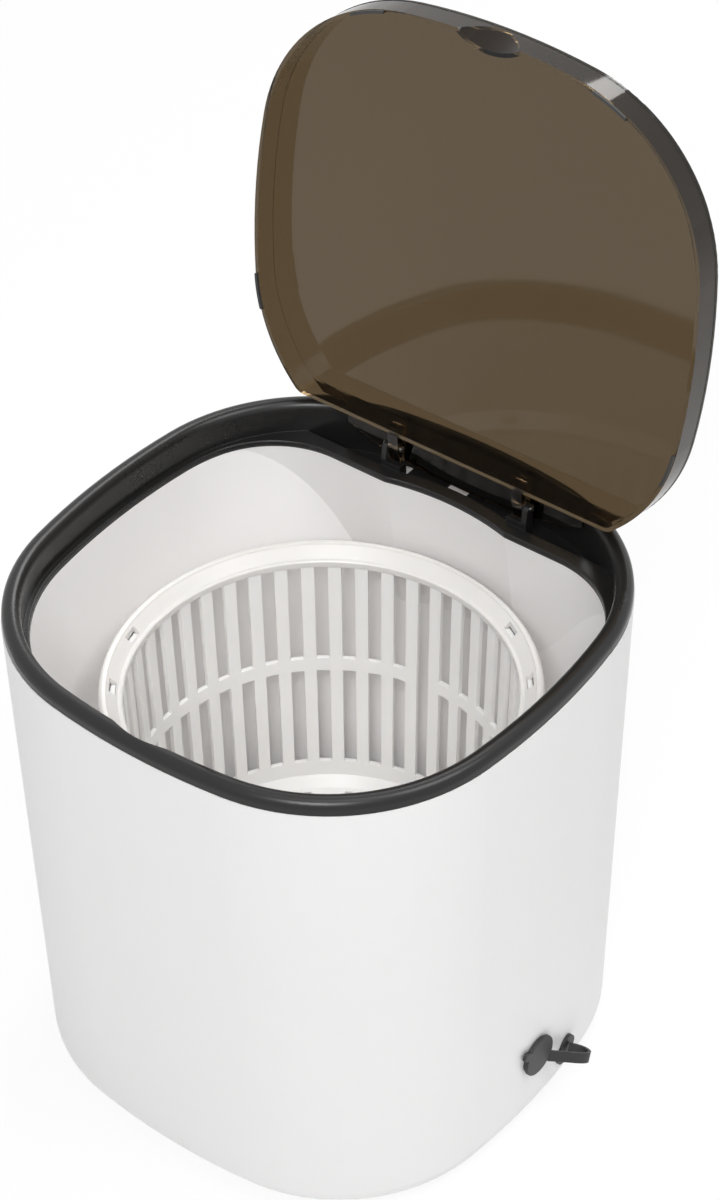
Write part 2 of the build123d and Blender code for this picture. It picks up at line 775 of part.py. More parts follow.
with BuildPart() as motor_bracket:
    with BuildSketch(Plane.XY.offset(bracket_z)):
        with Locations((motor_x, motor_y)):
            Circle(motor_radius + 1.0)
        with Locations(Location((motor_x, motor_y, 0), (0, 0, 90 + math.degrees(motor_turn)))):
            SlotOverall(2 * lug_reach + 12.0, 12.0)
        with Locations(lug_spots + motor_screw_spots):
            Circle(screw_radius, mode=Mode.SUBTRACT)
        with Locations((motor_x, motor_y)):
            Circle(5.0, mode=Mode.SUBTRACT)
    extrude(amount=bracket_thick)
motor_bracket.part.label = "motor_bracket"
export_step(motor_bracket.part, "parts/motor_bracket.step")

with BuildPart() as motor_shaft:
    with BuildSketch(Plane.XY.offset(pulley_z - 1.0)):
        with Locations((motor_x, motor_y)):
            Circle(motor_shaft_radius)
    extrude(amount=bracket_top + can_height - 8.0 - pulley_z)
    with BuildSketch(Plane.XY.offset(pulley_z - 1.0)):
        with Locations((motor_x + motor_shaft_radius, motor_y)):
            Rectangle(0.8, 2 * motor_shaft_radius)
    extrude(amount=pulley_height + 1.0, mode=Mode.SUBTRACT)
motor_shaft.part.label = "motor_shaft"
export_step(motor_shaft.part, "parts/motor_shaft.step")

with BuildPart() as motor_pulley:
    with Locations((motor_x, motor_y)):
        add(pulley(small_pulley_radius, motor_shaft_radius, 0.4, small_pulley_radius))
motor_pulley.part.label = "motor_pulley"
export_step(motor_pulley.part, "parts/motor_pulley.step")

belt_low = pulley_z + 1.6
belt_height = pulley_height - 3.2


def belt_shape(gap):
    """The closed loop round both pulleys at a gap from their rims."""
    near = small_pulley_radius + gap
    far = big_pulley_radius + gap
    span = math.hypot(motor_x, motor_y)
    lean = math.degrees(math.asin((far - near) / span))
    heading = math.degrees(motor_turn)
    near_x = span + near * math.sin(math.radians(lean))
    near_y = near * math.cos(math.radians(lean))
    far_x = far * math.sin(math.radians(lean))
    far_y = far * math.cos(math.radians(lean))
    with BuildSketch() as loop:
        with BuildLine():
            Line((far_x, far_y), (near_x, near_y))
            ThreePointArc((near_x, near_y), (span + near, 0), (near_x, -near_y))
            Line((near_x, -near_y), (far_x, -far_y))
            ThreePointArc((far_x, -far_y), (-far, 0), (far_x, far_y))
        make_face()
    return loop.sketch.rotate(Axis.Z, heading)


with BuildPart() as drive_belt:
    with BuildSketch(Plane.XY.offset(belt_low)):
        add(belt_shape(belt_gap + belt_thick))
        add(belt_shape(belt_gap), mode=Mode.SUBTRACT)
    extrude(amount=belt_height)
drive_belt.part.label = "drive_belt"
export_step(drive_belt.part, "parts/drive_belt.step")

drive_screw = pan_screw(screw_head, 1.8, screw_radius, 8.0)
board_x = -112.0
board_thick = 1.6
board_screw_y = 13.5
with BuildPart() as drive_screws:
    with Locations(Plane.XY.offset(housing_z)):
        with PolarLocations(housing_reach, 4, start_angle=45):
            add(drive_screw)
    with Locations(Plane.XY.offset(bracket_z)):
        with Locations(lug_spots + motor_screw_spots):
            add(drive_screw)
    for way in (-1, 1):
        board_spot = (board_x + board_thick, button_y + way * board_screw_y, button_z)
        with Locations(Location(board_spot, (0, -90, 0))):
            add(drive_screw)
drive_screws.part.label = "drive_screws"
export_step(drive_screws.part, "parts/drive_screws.step")

# Spin basket with two tiers of slots, seated on the pulsator's square boss, with latch tabs for its ring
latch_angles = (-165.0, -143.0, 38.5, 60.5)
latch_reach = 99.4
latch_depth = 3.2
latch_width = 9.0
latch_high = 215.0
hub_outer = 17.0
hub_roof = 75.4
hub_top = 77.6
socket_square = drive_square + 0.8
basket_bottom = basket_floor - basket_wall
lip_low = ring_lip_z - 4.5
lip_high = ring_lip_z - 2.5
lip_radius = 104.9
with BuildPart() as spin_basket:
    with BuildSketch(Plane.XZ):
        with BuildLine():
            Polyline(
                (shoulder_radius - 1.0, basket_bottom),
                (basket_low_radius - 4.0, basket_bottom),
                (basket_low_radius + basket_wall, basket_bottom + 6.0),
                (basket_top_radius + basket_wall, lip_low),
                (lip_radius, lip_low),
                (lip_radius, lip_high),
                (basket_top_radius, lip_high),
                (basket_low_radius, basket_floor + 5.0),
                (basket_low_radius - 5.0, basket_floor),
                (shoulder_radius - 1.0, basket_floor),
                close=True,
            )
        make_face()
    revolve(axis=Axis.Z)
    with BuildSketch(Plane.XY.offset(shoulder_top)):
        Circle(hub_outer)
    extrude(amount=hub_top - shoulder_top)
    fillet(spin_basket.faces().filter_by(Plane.XY).sort_by(Axis.Z)[-2].edges(), 1.5)
    with BuildSketch(Plane.XY.offset(shoulder_top)):
        Rectangle(socket_square, socket_square)
    extrude(amount=hub_roof - shoulder_top, mode=Mode.SUBTRACT)
    for low, high in (upper_slot, lower_slot):
        with PolarLocations(basket_low_radius, slot_count, start_angle=slot_phase):
            with Locations((basket_wall / 2, 0, (low + high) / 2)):
                Box(14.0, slot_width, high - low, mode=Mode.SUBTRACT)
    with Locations(Location((0, 0, (lower_slot[1] + upper_slot[0]) / 2), (0, 0, slot_phase))):
        with Locations((basket_top_radius, 0, 0)):
            Box(20.0, slot_width, upper_slot[0] - lower_slot[1] + 1.0, mode=Mode.SUBTRACT)
    for angle in latch_angles:
        with Locations(Location((0, 0, (lip_low + latch_high) / 2), (0, 0, angle))):
            with Locations((latch_reach, 0, 0)):
                Box(latch_depth - 0.8, latch_width - 1.0, latch_high - lip_low)
    for reach, count in ((34.0, 12), (56.0, 24), (76.0, 24)):
        with Locations(Plane.XY.offset(basket_floor - basket_wall / 2)):
            with PolarLocations(reach, count):
                Box(14.0, 4.0, 2 * basket_wall, mode=Mode.SUBTRACT)
spin_basket.part.label = "spin_basket"
export_step(spin_basket.part, "parts/spin_basket.step")

# Ring that snaps over the basket's lip
pull_angles = (-152.0, 47.0)
skirt_radius = lip_radius + 0.2
ring_shoulder = basket_ring_radius - ring_draft
ring_crown = 104.0
ring_shoulder_z = 217.6
with BuildPart() as basket_ring:
    with BuildSketch(Plane.XZ):
        with BuildLine():
            Polyline(
                (ring_lip_radius, lip_high),
                (ring_lip_radius + 2.6, lip_high),
                (skirt_radius - 2.7, ring_shoulder_z - 0.8),
                (skirt_radius, ring_shoulder_z - 1.6),
                (skirt_radius, lip_low - 1.5),
                (basket_ring_radius, lip_low - 1.5),
                (ring_shoulder, ring_shoulder_z),
            )
            ThreePointArc(
                (ring_shoulder, ring_shoulder_z),
                (ring_shoulder - 0.7, basket_ring_top - 0.9),
                (ring_crown, basket_ring_top),
            )
            Polyline(
                (ring_crown, basket_ring_top),
                (ring_crown - 1.6, basket_ring_top - 0.3),
                (ring_crown - 2.0, basket_ring_top - 1.1),
                (ring_lip_radius + 2.2, ring_lip_z + 1.3),
                (ring_lip_radius + 1.8, ring_lip_z + 1.2),
                (ring_lip_radius + 0.5, ring_lip_z + 1.2),
                (ring_lip_radius, ring_lip_z + 0.7),
                (ring_lip_radius, lip_high),
            )
        make_face()
    revolve(axis=Axis.Z)
    for angle in latch_angles:
        with Locations(Location((0, 0, basket_ring_top - 4.0), (0, 0, angle))):
            with Locations((latch_reach, 0, 0)):
                Box(latch_depth, latch_width, 14.0, mode=Mode.SUBTRACT)
    for angle in pull_angles:
        with Locations(Location((0, 0, ring_shoulder_z - 3.0), (0, 0, angle))):
            with Locations((basket_ring_radius + 0.6, 0, 0)):
                Box(4.2, 12.0, 3.2, mode=Mode.SUBTRACT)
basket_ring.part.label = "basket_ring"
export_step(basket_ring.part, "parts/basket_ring.step")

# Lid, modelled closed and then swung open
hinge_line = Axis((0, hinge_y, hinge_z), (1, 0, 0))


def lid_nest(inset):
    """The lid's skirt line: the lid's outline cut straight across in front of the hinge."""
    with BuildSketch() as face:
        add(outline(lid_inset + inset, lid_squash, lid_shift))
        with Locations((0, lid_chord_y - inset + body_half)):
            Rectangle(4 * body_half, 2 * body_half, mode=Mode.SUBTRACT)
        fillet(face.vertices().group_by(Axis.Y)[-1], lid_corner - inset)
    return face.sketch


relief_x = 70.0
relief_front = 101.0
panel_bottom = rim_top - lid_wall
scoop_centre = lid_shift - body_half + lid_inset + lid_squash + scoop_depth - scoop_radius
with BuildPart() as scoop_wall:
    with BuildSketch(Plane.XY.offset(lid_skirt_bottom)):
        with Locations((0, scoop_centre)):
            Circle(scoop_radius + lid_wall)
    extrude(amount=panel_bottom - lid_skirt_bottom, taper=scoop_taper)
    with BuildSketch(Plane.XY.offset(lid_skirt_bottom)):
        add(lid_nest(skirt_inset))
    extrude(amount=panel_bottom - lid_skirt_bottom, mode=Mode.INTERSECT)

with BuildPart() as lid_closed:
    with BuildSketch(Plane.XY.offset(panel_bottom)):
        add(outline(lid_inset, lid_squash, lid_shift))
    extrude(amount=lid_wall)
    with BuildSketch(Plane.XY.offset(panel_bottom)):
        for side in (-1, 1):
            with Locations((side * (relief_x + 20.0), relief_front + 20.0)):
                RectangleRounded(40.0, 40.0, 4.0)
    extrude(amount=lid_wall, mode=Mode.SUBTRACT)
    fillet(lid_closed.faces().sort_by(Axis.Z)[-1].edges(), 0.8)
    with BuildSketch(Plane.XY.offset(lid_skirt_bottom)):
        add(lid_nest(skirt_inset))
        add(lid_nest(skirt_inset + lid_wall), mode=Mode.SUBTRACT)
    extrude(amount=panel_bottom - lid_skirt_bottom)
    add(scoop_wall.part)
    with BuildSketch(Plane.XY.offset(lid_skirt_bottom)):
        with Locations((0, scoop_centre)):
            Circle(scoop_radius)
    extrude(amount=panel_bottom - lid_skirt_bottom, taper=scoop_taper, mode=Mode.SUBTRACT)
    for side in (-1, 1):
        with BuildSketch(Plane.YZ.offset(side * arm_x - arm_width / 2)):
            with BuildLine():
                Polyline(
                    (lid_chord_y - 1.0, hinge_z - 5.5),
                    (hinge_y - 1.5, hinge_z - knuckle_radius),
                    (hinge_y + 2.0, hinge_z - 2.4),
                    (hinge_y + heel_reach, hinge_z + 0.4),
                    (hinge_y + heel_reach, hinge_z + knuckle_radius),
                    (hinge_y, hinge_z + knuckle_radius),
                    (lid_chord_y - 1.0, hinge_z + knuckle_radius),
                    close=True,
                )
            make_face()
        extrude(amount=arm_width)
    with BuildSketch(Plane.YZ):
        with Locations((hinge_y, hinge_z)):
            Circle(pin_radius + running_gap)
    extrude(amount=2 * arm_x, both=True, mode=Mode.SUBTRACT)

with BuildPart() as lid_panel:
    add(lid_closed.part.rotate(hinge_line, -open_angle))
lid_panel.part.label = "lid_panel"
export_step(lid_panel.part, "parts/lid_panel.step")

# Four rubber strips under the lid's skirt, which meet the rim's ledge when it is shut
bumper_margin = 0.3
bumper_spots = [(-66.0, -116.0), (66.0, -116.0), (-120.0, 50.0), (120.0, 50.0)]
with BuildPart() as bumpers_closed:
    for spot in bumper_spots:
        with BuildSketch(Plane.XY.offset(ledge_z + 0.1)):
            add(lid_nest(skirt_inset + bumper_margin))
            add(lid_nest(skirt_inset + lid_wall - bumper_margin), mode=Mode.SUBTRACT)
            with Locations(spot):
                Rectangle(18.0, 18.0, mode=Mode.INTERSECT)
        extrude(amount=lid_skirt_bottom - ledge_z - 0.1)

with BuildPart() as lid_bumpers:
    add(bumpers_closed.part.rotate(hinge_line, -open_angle))
lid_bumpers.part.label = "lid_bumpers"
export_step(lid_bumpers.part, "parts/lid_bumpers.step")

pin_inner = arm_x - arm_width / 2 - 0.6
pin_outer = arm_x + ear_offset + ear_thick / 2 + 0.6
with BuildPart() as hinge_pins:
    for side in (-1, 1):
        with BuildSketch(Plane.YZ.offset(side * pin_inner)):
            with Locations((hinge_y, hinge_z)):
                Circle(pin_radius)
        extrude(amount=side * (pin_outer - pin_inner))
hinge_pins.part.label = "hinge_pins"
export_step(hinge_pins.part, "parts/hinge_pins.step")

# Drain: a sump under the tub's floor with a spout to the side, its grommet, and the tethered plug
cap_x = 131.2
cap_thick = 1.8
cap_radius = 11.0
grommet_lip = 10.2
grommet_depth = 6.0
sump_radius = 8.5
sump_low = 37.0
with BuildPart() as drain_sump:
    with BuildSketch(Plane.XY.offset(sump_low)):
        with Locations((drain_x, drain_y)):
            Circle(sump_radius)
    extrude(amount=tub_bottom - sump_low)
    with BuildSketch(Plane.XY.offset(tub_bottom - 1.5)):
        with Locations((drain_x, drain_y)):
            Circle(sump_radius + 3.0)
    extrude(amount=1.5)
    with BuildSketch(along_x(drain_y, drain_z, 1, drain_x)):
        Circle(spout_outer)
    extrude(amount=cap_x - 0.2 - drain_x)
    with BuildSketch(Plane.XY.offset(sump_low + 2.0)):
        with Locations((drain_x, drain_y)):
            Circle(drain_radius)
    extrude(amount=tub_bottom - sump_low, mode=Mode.SUBTRACT)
    with BuildSketch(along_x(drain_y, drain_z, 1, drain_x)):
        Circle(spout_bore)
    extrude(amount=body_half, mode=Mode.SUBTRACT)
drain_sump.part.label = "drain_sump"
export_step(drain_sump.part, "parts/drain_sump.step")

with BuildPart() as drain_grommet:
    with BuildSketch(along_x(drain_y, drain_z, 1, cap_x - 0.1 - grommet_depth)):
        Circle(grommet_lip)
    extrude(amount=grommet_depth)
    add(shell_outside, mode=Mode.SUBTRACT)
    with BuildSketch(along_x(drain_y, drain_z, 1, cap_x - 0.1 - grommet_depth)):
        Circle(grommet_radius)
    extrude(amount=grommet_depth)
    with BuildSketch(along_x(drain_y, drain_z, 1, cap_x - grommet_depth - 1.0)):
        Circle(spout_outer)
    extrude(amount=2 * grommet_depth, mode=Mode.SUBTRACT)
drain_grommet.part.label = "drain_grommet"
export_step(drain_grommet.part, "parts/drain_grommet.step")

stopper_radius = spout_bore - 0.35
stopper_length = 9.0
nub_reach = 15.5
nub_width = 5.0
strap_turn = -37.4
with BuildPart() as drain_plug:
    with BuildSketch(along_x(drain_y, drain_z, 1, cap_x)):
        Circle(stopper_radius)
    extrude(amount=-stopper_length, taper=2)
    with BuildSketch(along_x(drain_y, drain_z, 1, cap_x)):
        Circle(cap_radius)
        with Locations(Location((0, 0, 0), (0, 0, strap_turn))):
            with Locations((-nub_reach / 2, 0)):
                RectangleRounded(nub_reach, nub_width, 2.0)
    extrude(amount=cap_thick)
    fillet(drain_plug.faces().sort_by(Axis.X)[-1].edges(), 0.6)
drain_plug.part.label = "drain_plug"
export_step(drain_plug.part, "parts/drain_plug.step")

# Tether: a flat rubber strap from the cap round to an anchor pushed through the shell
strap_start = Vector(cap_x + cap_thick / 2, 7.0, 37.6)
strap_bend = Vector(145.0, 25.0, 28.4)
strap_end = Vector(131.4, anchor_y, anchor_z)
strap_run = strap_bend - strap_start
strap_plane = Plane(
    origin=strap_start,
    x_dir=strap_run.normalized(),
    z_dir=strap_run.cross(strap_end - strap_start).normalized(),
)
strap_finish = strap_plane.to_local_coords(strap_end)
strap_width = 5.4
strap_thick = 1.5
with BuildPart() as plug_strap:
    with BuildSketch(strap_plane):
        with BuildLine():
            Spline(
                (0.0, 0.0),
                (0.5 * strap_run.length, -0.6),
                (strap_run.length, 1.8),
                (strap_run.length + 0.6, 7.0),
                (strap_finish.X, strap_finish.Y),
                tangents=((1, 0), (-0.9, 0.45)),
            )
        trace(line_width=strap_thick)
    extrude(amount=strap_width / 2, both=True)
    with BuildSketch(along_x(drain_y, drain_z, 1, cap_x - 2.0)):
        Circle(cap_radius)
    extrude(amount=6.0, mode=Mode.SUBTRACT)
plug_strap.part.label = "plug_strap"
export_step(plug_strap.part, "parts/plug_strap.step")

anchor_x = 127.6
anchor_face = 130.6
anchor_turn = 52.6
anchor_length = 16.6
anchor_width = 10.4
anchor_shift = 1.6
with BuildPart() as plug_anchor:
    with BuildSketch(along_x(anchor_y, anchor_z, 1, anchor_x)):
        with Locations(Location((0, 0, 0), (0, 0, anchor_turn))):
            with Locations((-anchor_shift, 0)):
                SlotOverall(anchor_length, anchor_width)
    extrude(amount=anchor_face - anchor_x)
    add(shell_outside, mode=Mode.SUBTRACT)
    with BuildSketch(along_x(anchor_y, anchor_z, 1, anchor_x - 4.0)):
        Circle(anchor_radius)
    extrude(amount=anchor_face - anchor_x + 4.0)
    with BuildSketch(along_x(anchor_y, anchor_z, 1, anchor_x - 4.0)):
        Circle(anchor_radius + 1.2)
    extrude(amount=1.6)
    add(plug_strap.part, mode=Mode.SUBTRACT)
plug_anchor.part.label = "plug_anchor"
export_step(plug_anchor.part, "parts/plug_anchor.step")

# Power button on the left side: bezel, button, its plunger, the switch and the control board
bezel_face = 132.4
bezel_lip = 9.4
button_face = 133.4
collar_radius = 10.4
collar_out = 129.0
collar_in = 127.6
press_travel = 1.2
switch_depth = 3.4
board_face = -board_x
with BuildPart() as button_bezel:
    with BuildSketch(along_x(button_y, button_z, -1, -bezel_face + 8.0)):
        Circle(bezel_radius)
    extrude(amount=8.0)
    fillet(button_bezel.faces().sort_by(Axis.X)[0].edges(), 0.8)
    add(shell_outside, mode=Mode.SUBTRACT)
    with BuildSketch(along_x(button_y, button_z, -1, -board_face)):
        Circle(bezel_radius - 2.0)
    extrude(amount=bezel_face - 1.5 - board_face)
    with BuildSketch(along_x(button_y, button_z, -1, -board_face)):
        with Locations((-board_screw_y, 0), (board_screw_y, 0)):
            Circle(3.2)
    extrude(amount=12.0)
    with BuildSketch(along_x(button_y, button_z, -1, -board_face - 0.2)):
        Circle(bezel_lip)
    extrude(amount=body_half, mode=Mode.SUBTRACT)
    with BuildSketch(along_x(button_y, button_z, -1, -board_face)):
        Circle(collar_radius + 0.4)
    extrude(amount=collar_out + 0.3 - board_face, mode=Mode.SUBTRACT)
    with BuildSketch(along_x(button_y, button_z, -1, -board_face)):
        with Locations((-board_screw_y, 0), (board_screw_y, 0)):
            Circle(screw_radius)
    extrude(amount=post_hole, mode=Mode.SUBTRACT)
button_bezel.part.label = "button_bezel"
export_step(button_bezel.part, "parts/button_bezel.step")

with BuildPart() as power_button:
    with BuildSketch(along_x(button_y, button_z, -1, -collar_in)):
        Circle(button_radius)
    extrude(amount=button_face - collar_in)
    fillet(power_button.faces().sort_by(Axis.X)[0].edges(), 0.8)
    with BuildSketch(along_x(button_y, button_z, -1, -collar_in)):
        Circle(collar_radius)
    extrude(amount=collar_out - collar_in)
    with BuildSketch(along_x(button_y, button_z, -1, -board_face - switch_depth - 1.6)):
        Circle(3.0)
    extrude(amount=collar_in - board_face - switch_depth - 1.6)
power_button.part.label = "power_button"
export_step(power_button.part, "parts/power_button.step")

with BuildPart() as switch_plunger:
    with BuildSketch(along_x(button_y, button_z, -1, -board_face - 1.8)):
        Circle(1.6)
    extrude(amount=switch_depth - 0.2)
switch_plunger.part.label = "switch_plunger"
export_step(switch_plunger.part, "parts/switch_plunger.step")

with BuildPart() as tact_switch:
    with BuildSketch(along_x(button_y, button_z, -1, -board_face)):
        Rectangle(6.0, 6.0)
    extrude(amount=switch_depth)
    with BuildSketch(along_x(button_y, button_z, -1, -board_face - 0.4)):
        Circle(2.0)
    extrude(amount=switch_depth, mode=Mode.SUBTRACT)
tact_switch.part.label = "tact_switch"
export_step(tact_switch.part, "parts/tact_switch.step")

board_width = 44.0
board_height = 26.0
with BuildPart() as control_board:
    with BuildSketch(along_x(button_y, button_z, 1, board_x)):
        Rectangle(board_width, board_height)
        with Locations((-board_screw_y, 0), (board_screw_y, 0)):
            Circle(screw_radius, mode=Mode.SUBTRACT)
    extrude(amount=board_thick)
    with BuildSketch(along_x(button_y, button_z, 1, board_x + board_thick)):
        with Locations((-6.0, 7.5)):
            Rectangle(9.0, 6.0)
    extrude(amount=1.8)
    with BuildSketch(along_x(button_y, button_z, 1, board_x + board_thick)):
        with Locations((6.0, -7.5)):
            Circle(3.2)
    extrude(amount=6.0)
    with BuildSketch(along_x(button_y, button_z, 1, board_x + board_thick)):
        with Locations((-6.0, -9.0), (17.0, -9.0)):
            Rectangle(6.0, 4.0)
    extrude(amount=5.0)
control_board.part.label = "control_board"
export_step(control_board.part, "parts/control_board.step")

# Supply inlet at the back and the two leads inside
inlet_face = 130.4
inlet_depth = 14.0
with BuildPart() as dc_socket:
    with BuildSketch(along_y(inlet_x, inlet_z, inlet_face - 6.0)):
        Circle(inlet_radius + 2.5)
    extrude(amount=6.0)
    fillet(dc_socket.faces().sort_by(Axis.Y)[-1].edges(), 0.6)
    add(shell_outside, mode=Mode.SUBTRACT)
    with BuildSketch(along_y(inlet_x, inlet_z, inlet_face - inlet_depth)):
        Circle(inlet_radius)
    extrude(amount=inlet_depth - 1.0)
    with BuildSketch(along_y(inlet_x, inlet_z, inlet_face - inlet_depth + 3.0)):
        Circle(2.9)
    extrude(amount=inlet_depth, mode=Mode.SUBTRACT)
    with BuildSketch(along_y(inlet_x, inlet_z, inlet_face - inlet_depth + 3.0)):
        Circle(1.0)
    extrude(amount=inlet_depth - 4.5)
dc_socket.part.label = "dc_socket"
export_step(dc_socket.part, "parts/dc_socket.step")

lead_radius = 1.4
inlet_back = inlet_face - inlet_depth
plug_low = button_z - 9.0
socket_x = board_x + board_thick + 5.0
with BuildPart() as supply_lead:
    with BuildLine():
        Spline(
            (inlet_x, inlet_back, inlet_z),
            (10.0, 99.0, 22.0),
            (-50.0, 84.0, 17.0),
            (-88.0, 50.0, 18.0),
            (socket_x, button_y + 17.0, plug_low),
            tangents=((0, -1, 0), (-1, 0, 0)),
        )
    with BuildSketch(along_y(inlet_x, inlet_z, inlet_back)):
        Circle(lead_radius)
    sweep()
supply_lead.part.label = "supply_lead"
export_step(supply_lead.part, "parts/supply_lead.step")

with BuildPart() as motor_lead:
    with BuildLine():
        Spline(
            (socket_x, button_y - 6.0, plug_low),
            (-92.0, -34.0, 24.0),
            (motor_x - motor_radius, motor_y, 30.0),
            tangents=((1, 0, 0), (1, 0, 0)),
        )
    with BuildSketch(along_x(button_y - 6.0, plug_low, 1, socket_x)):
        Circle(lead_radius)
    sweep()
    with BuildSketch(Plane.XY.offset(bracket_top)):
        with Locations((motor_x, motor_y)):
            Circle(motor_radius)
    extrude(amount=can_height, mode=Mode.SUBTRACT)
motor_lead.part.label = "motor_lead"
export_step(motor_lead.part, "parts/motor_lead.step")
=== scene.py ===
import bpy
import math
from mathutils import Matrix, Vector


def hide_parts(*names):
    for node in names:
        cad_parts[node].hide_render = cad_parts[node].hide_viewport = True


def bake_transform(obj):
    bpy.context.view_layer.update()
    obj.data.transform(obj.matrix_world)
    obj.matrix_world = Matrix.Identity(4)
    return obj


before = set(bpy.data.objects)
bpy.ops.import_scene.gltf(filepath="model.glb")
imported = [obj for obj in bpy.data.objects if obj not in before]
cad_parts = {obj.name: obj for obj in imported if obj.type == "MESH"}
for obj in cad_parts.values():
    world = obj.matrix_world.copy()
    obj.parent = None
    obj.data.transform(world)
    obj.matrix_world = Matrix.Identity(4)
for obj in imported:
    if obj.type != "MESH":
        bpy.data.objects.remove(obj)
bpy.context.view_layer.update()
print("washer: packed model loaded")


# Shader recipes

class Wire:
    # a node socket that can stand in a sum or a product
    def __init__(self, recipe, socket):
        self.recipe = recipe
        self.socket = socket

    def maths(self, operation, first, second):
        return self.recipe.node("ShaderNodeMath", {"operation": operation}, {0: first, 1: second})

    def __add__(self, other):
        return self.maths("ADD", self, other)

    def __radd__(self, other):
        return self.maths("ADD", other, self)

    def __sub__(self, other):
        return self.maths("SUBTRACT", self, other)

    def __mul__(self, other):
        return self.maths("MULTIPLY", self, other)

    def __rmul__(self, other):
        return self.maths("MULTIPLY", other, self)

    def most(self, other):
        return self.maths("MAXIMUM", self, other)


class Recipe:
    # the node tree of a material or of the world
    def __init__(self, owner):
        self.owner = owner
        owner.use_nodes = True
        self.nodes = owner.node_tree.nodes
        self.links = owner.node_tree.links

    def node(self, kind, settings, sockets, output=0):
        made = self.nodes.new(kind)
        for key, value in settings.items():
            setattr(made, key, value)
        for key, value in sockets.items():
            self.plug(made.inputs[key], value)
        return Wire(self, made.outputs[output])

    def plug(self, socket, value):
        if isinstance(value, Wire):
            self.links.new(value.socket, socket)
        elif isinstance(value, tuple) and len(value) == 3 and socket.type == "RGBA":
            socket.default_value = (*value, 1)
        else:
            socket.default_value = value

    def seenDirectly(self):
        # 1 on the rays from the camera, from a reflection and through the lid
        camera = self.node("ShaderNodeLightPath", {}, {}, "Is Camera Ray")
        glossy = self.node("ShaderNodeLightPath", {}, {}, "Is Glossy Ray")
        through = self.node("ShaderNodeLightPath", {}, {}, "Is Transmission Ray")
        return camera.most(glossy).most(through)


class Finish(Recipe):
    # a material's tree, with its Principled shader ready
    def __init__(self, name):
        super().__init__(bpy.data.materials.new(name))
        self.shader = self.nodes["Principled BSDF"]
        self.place = self.node("ShaderNodeTexCoord", {}, {}, "Object")

    def noise(self, scale, detail=2.0, roughness=0.5, stretch=None):
        place = self.place
        if stretch:
            place = self.node("ShaderNodeMapping", {}, {"Vector": place, "Scale": stretch})
        sockets = {"Vector": place, "Scale": scale, "Detail": detail, "Roughness": roughness}
        return self.node("ShaderNodeTexNoise", {}, sockets)

    def mixed(self, mask, low, high):
        factor, first, second, result = 0, 6, 7, 2
        sockets = {factor: mask, first: low, second: high}
        return self.node("ShaderNodeMix", {"data_type": "RGBA"}, sockets, result)

    def bump(self, height, strength, distance, edge=0.0):
        # edge softens the corners that are narrower than it, as a moulding's are
        sockets = {"Height": height, "Strength": strength, "Distance": distance}
        if edge:
            sockets["Normal"] = self.node("ShaderNodeBevel", {"samples": 4}, {"Radius": edge})
        return self.node("ShaderNodeBump", {}, sockets)

    def finish(self, **values):
        for key, value in values.items():
            self.plug(self.shader.inputs[key.replace("_", " ")], value)
        return self.owner


def shade(colour, factor):
    return tuple(min(1.0, part * factor) for part in colour)


# the mean that a noise varies about
middle = 0.5


moulded = {
    "cloudScale": 9.0,
    "grainScale": 900.0,
    "handledScale": 23.0,
    "grainDepth": 0.0002,
    "grainRough": 0.05,
    "milkReach": (0.004, 0.0036, 0.0032),
}


def mouldedPlastic(name, look):
    # satin injection-moulded plastic: a faint cloud in the colour, fine spark texture, handled patches
    r = Finish(name)
    cloud = r.noise(moulded["cloudScale"], detail=3.0)
    grain = r.noise(moulded["grainScale"], roughness=0.6)
    handled = r.noise(moulded["handledScale"], detail=4.0, roughness=0.6)
    dark, light = 1 - look["vary"], 1 + look["vary"]
    patched = look["rough"] + look["roughVary"] * (handled - middle)
    return r.finish(
        Base_Color=r.mixed(cloud, shade(look["colour"], dark), shade(look["colour"], light)),
        Roughness=patched + moulded["grainRough"] * (grain - middle),
        Normal=r.bump(grain, look["bump"], moulded["grainDepth"], look.get("edge", 0.0)),
        IOR=look.get("ior", 1.46),
        Subsurface_Weight=look.get("milk", 0.0),
        Subsurface_Radius=moulded["milkReach"],
        Subsurface_Scale=1.0,
    )


rubbery = {
    "dustScale": 60.0,
    "grainScale": 1400.0,
    "dustLift": 1.7,
    "dustRough": 0.12,
    "grainStrength": 0.25,
    "grainDepth": 0.0002,
}


def rubber(name, look):
    # dark rubber with a little dust on it
    r = Finish(name)
    dust = r.noise(rubbery["dustScale"], detail=5.0, roughness=0.65)
    grain = r.noise(rubbery["grainScale"], roughness=0.6)
    return r.finish(
        Base_Color=r.mixed(dust, look["colour"], shade(look["colour"], rubbery["dustLift"])),
        Roughness=look["rough"] + rubbery["dustRough"] * (dust - middle),
        Normal=r.bump(grain, rubbery["grainStrength"], rubbery["grainDepth"]),
    )


metallic = {
    "spotScale": 40.0,
    "spotDark": 0.86,
    "markRough": 0.18,
    "markDepth": 0.0001,
}


def metal(name, look):
    # brushed or plated metal, the brush marks running along one axis
    r = Finish(name)
    marks = r.noise(look["scale"], detail=3.0, roughness=0.6, stretch=look["stretch"])
    spots = r.noise(metallic["spotScale"], detail=4.0, roughness=0.6)
    return r.finish(
        Base_Color=r.mixed(spots, shade(look["colour"], metallic["spotDark"]), look["colour"]),
        Metallic=1.0,
        Roughness=look["rough"] + metallic["markRough"] * (marks - middle),
        Normal=r.bump(marks, look["bump"], metallic["markDepth"]),
    )


smoked = {
    "waveScale": 6.0,
    "waveTint": 0.08,
    "waveStrength": 0.04,
    "waveDepth": 0.001,
    "streakScale": 30.0,
    "streakStretch": (1.0, 1.0, 0.25),
    "streakRough": 0.06,
}


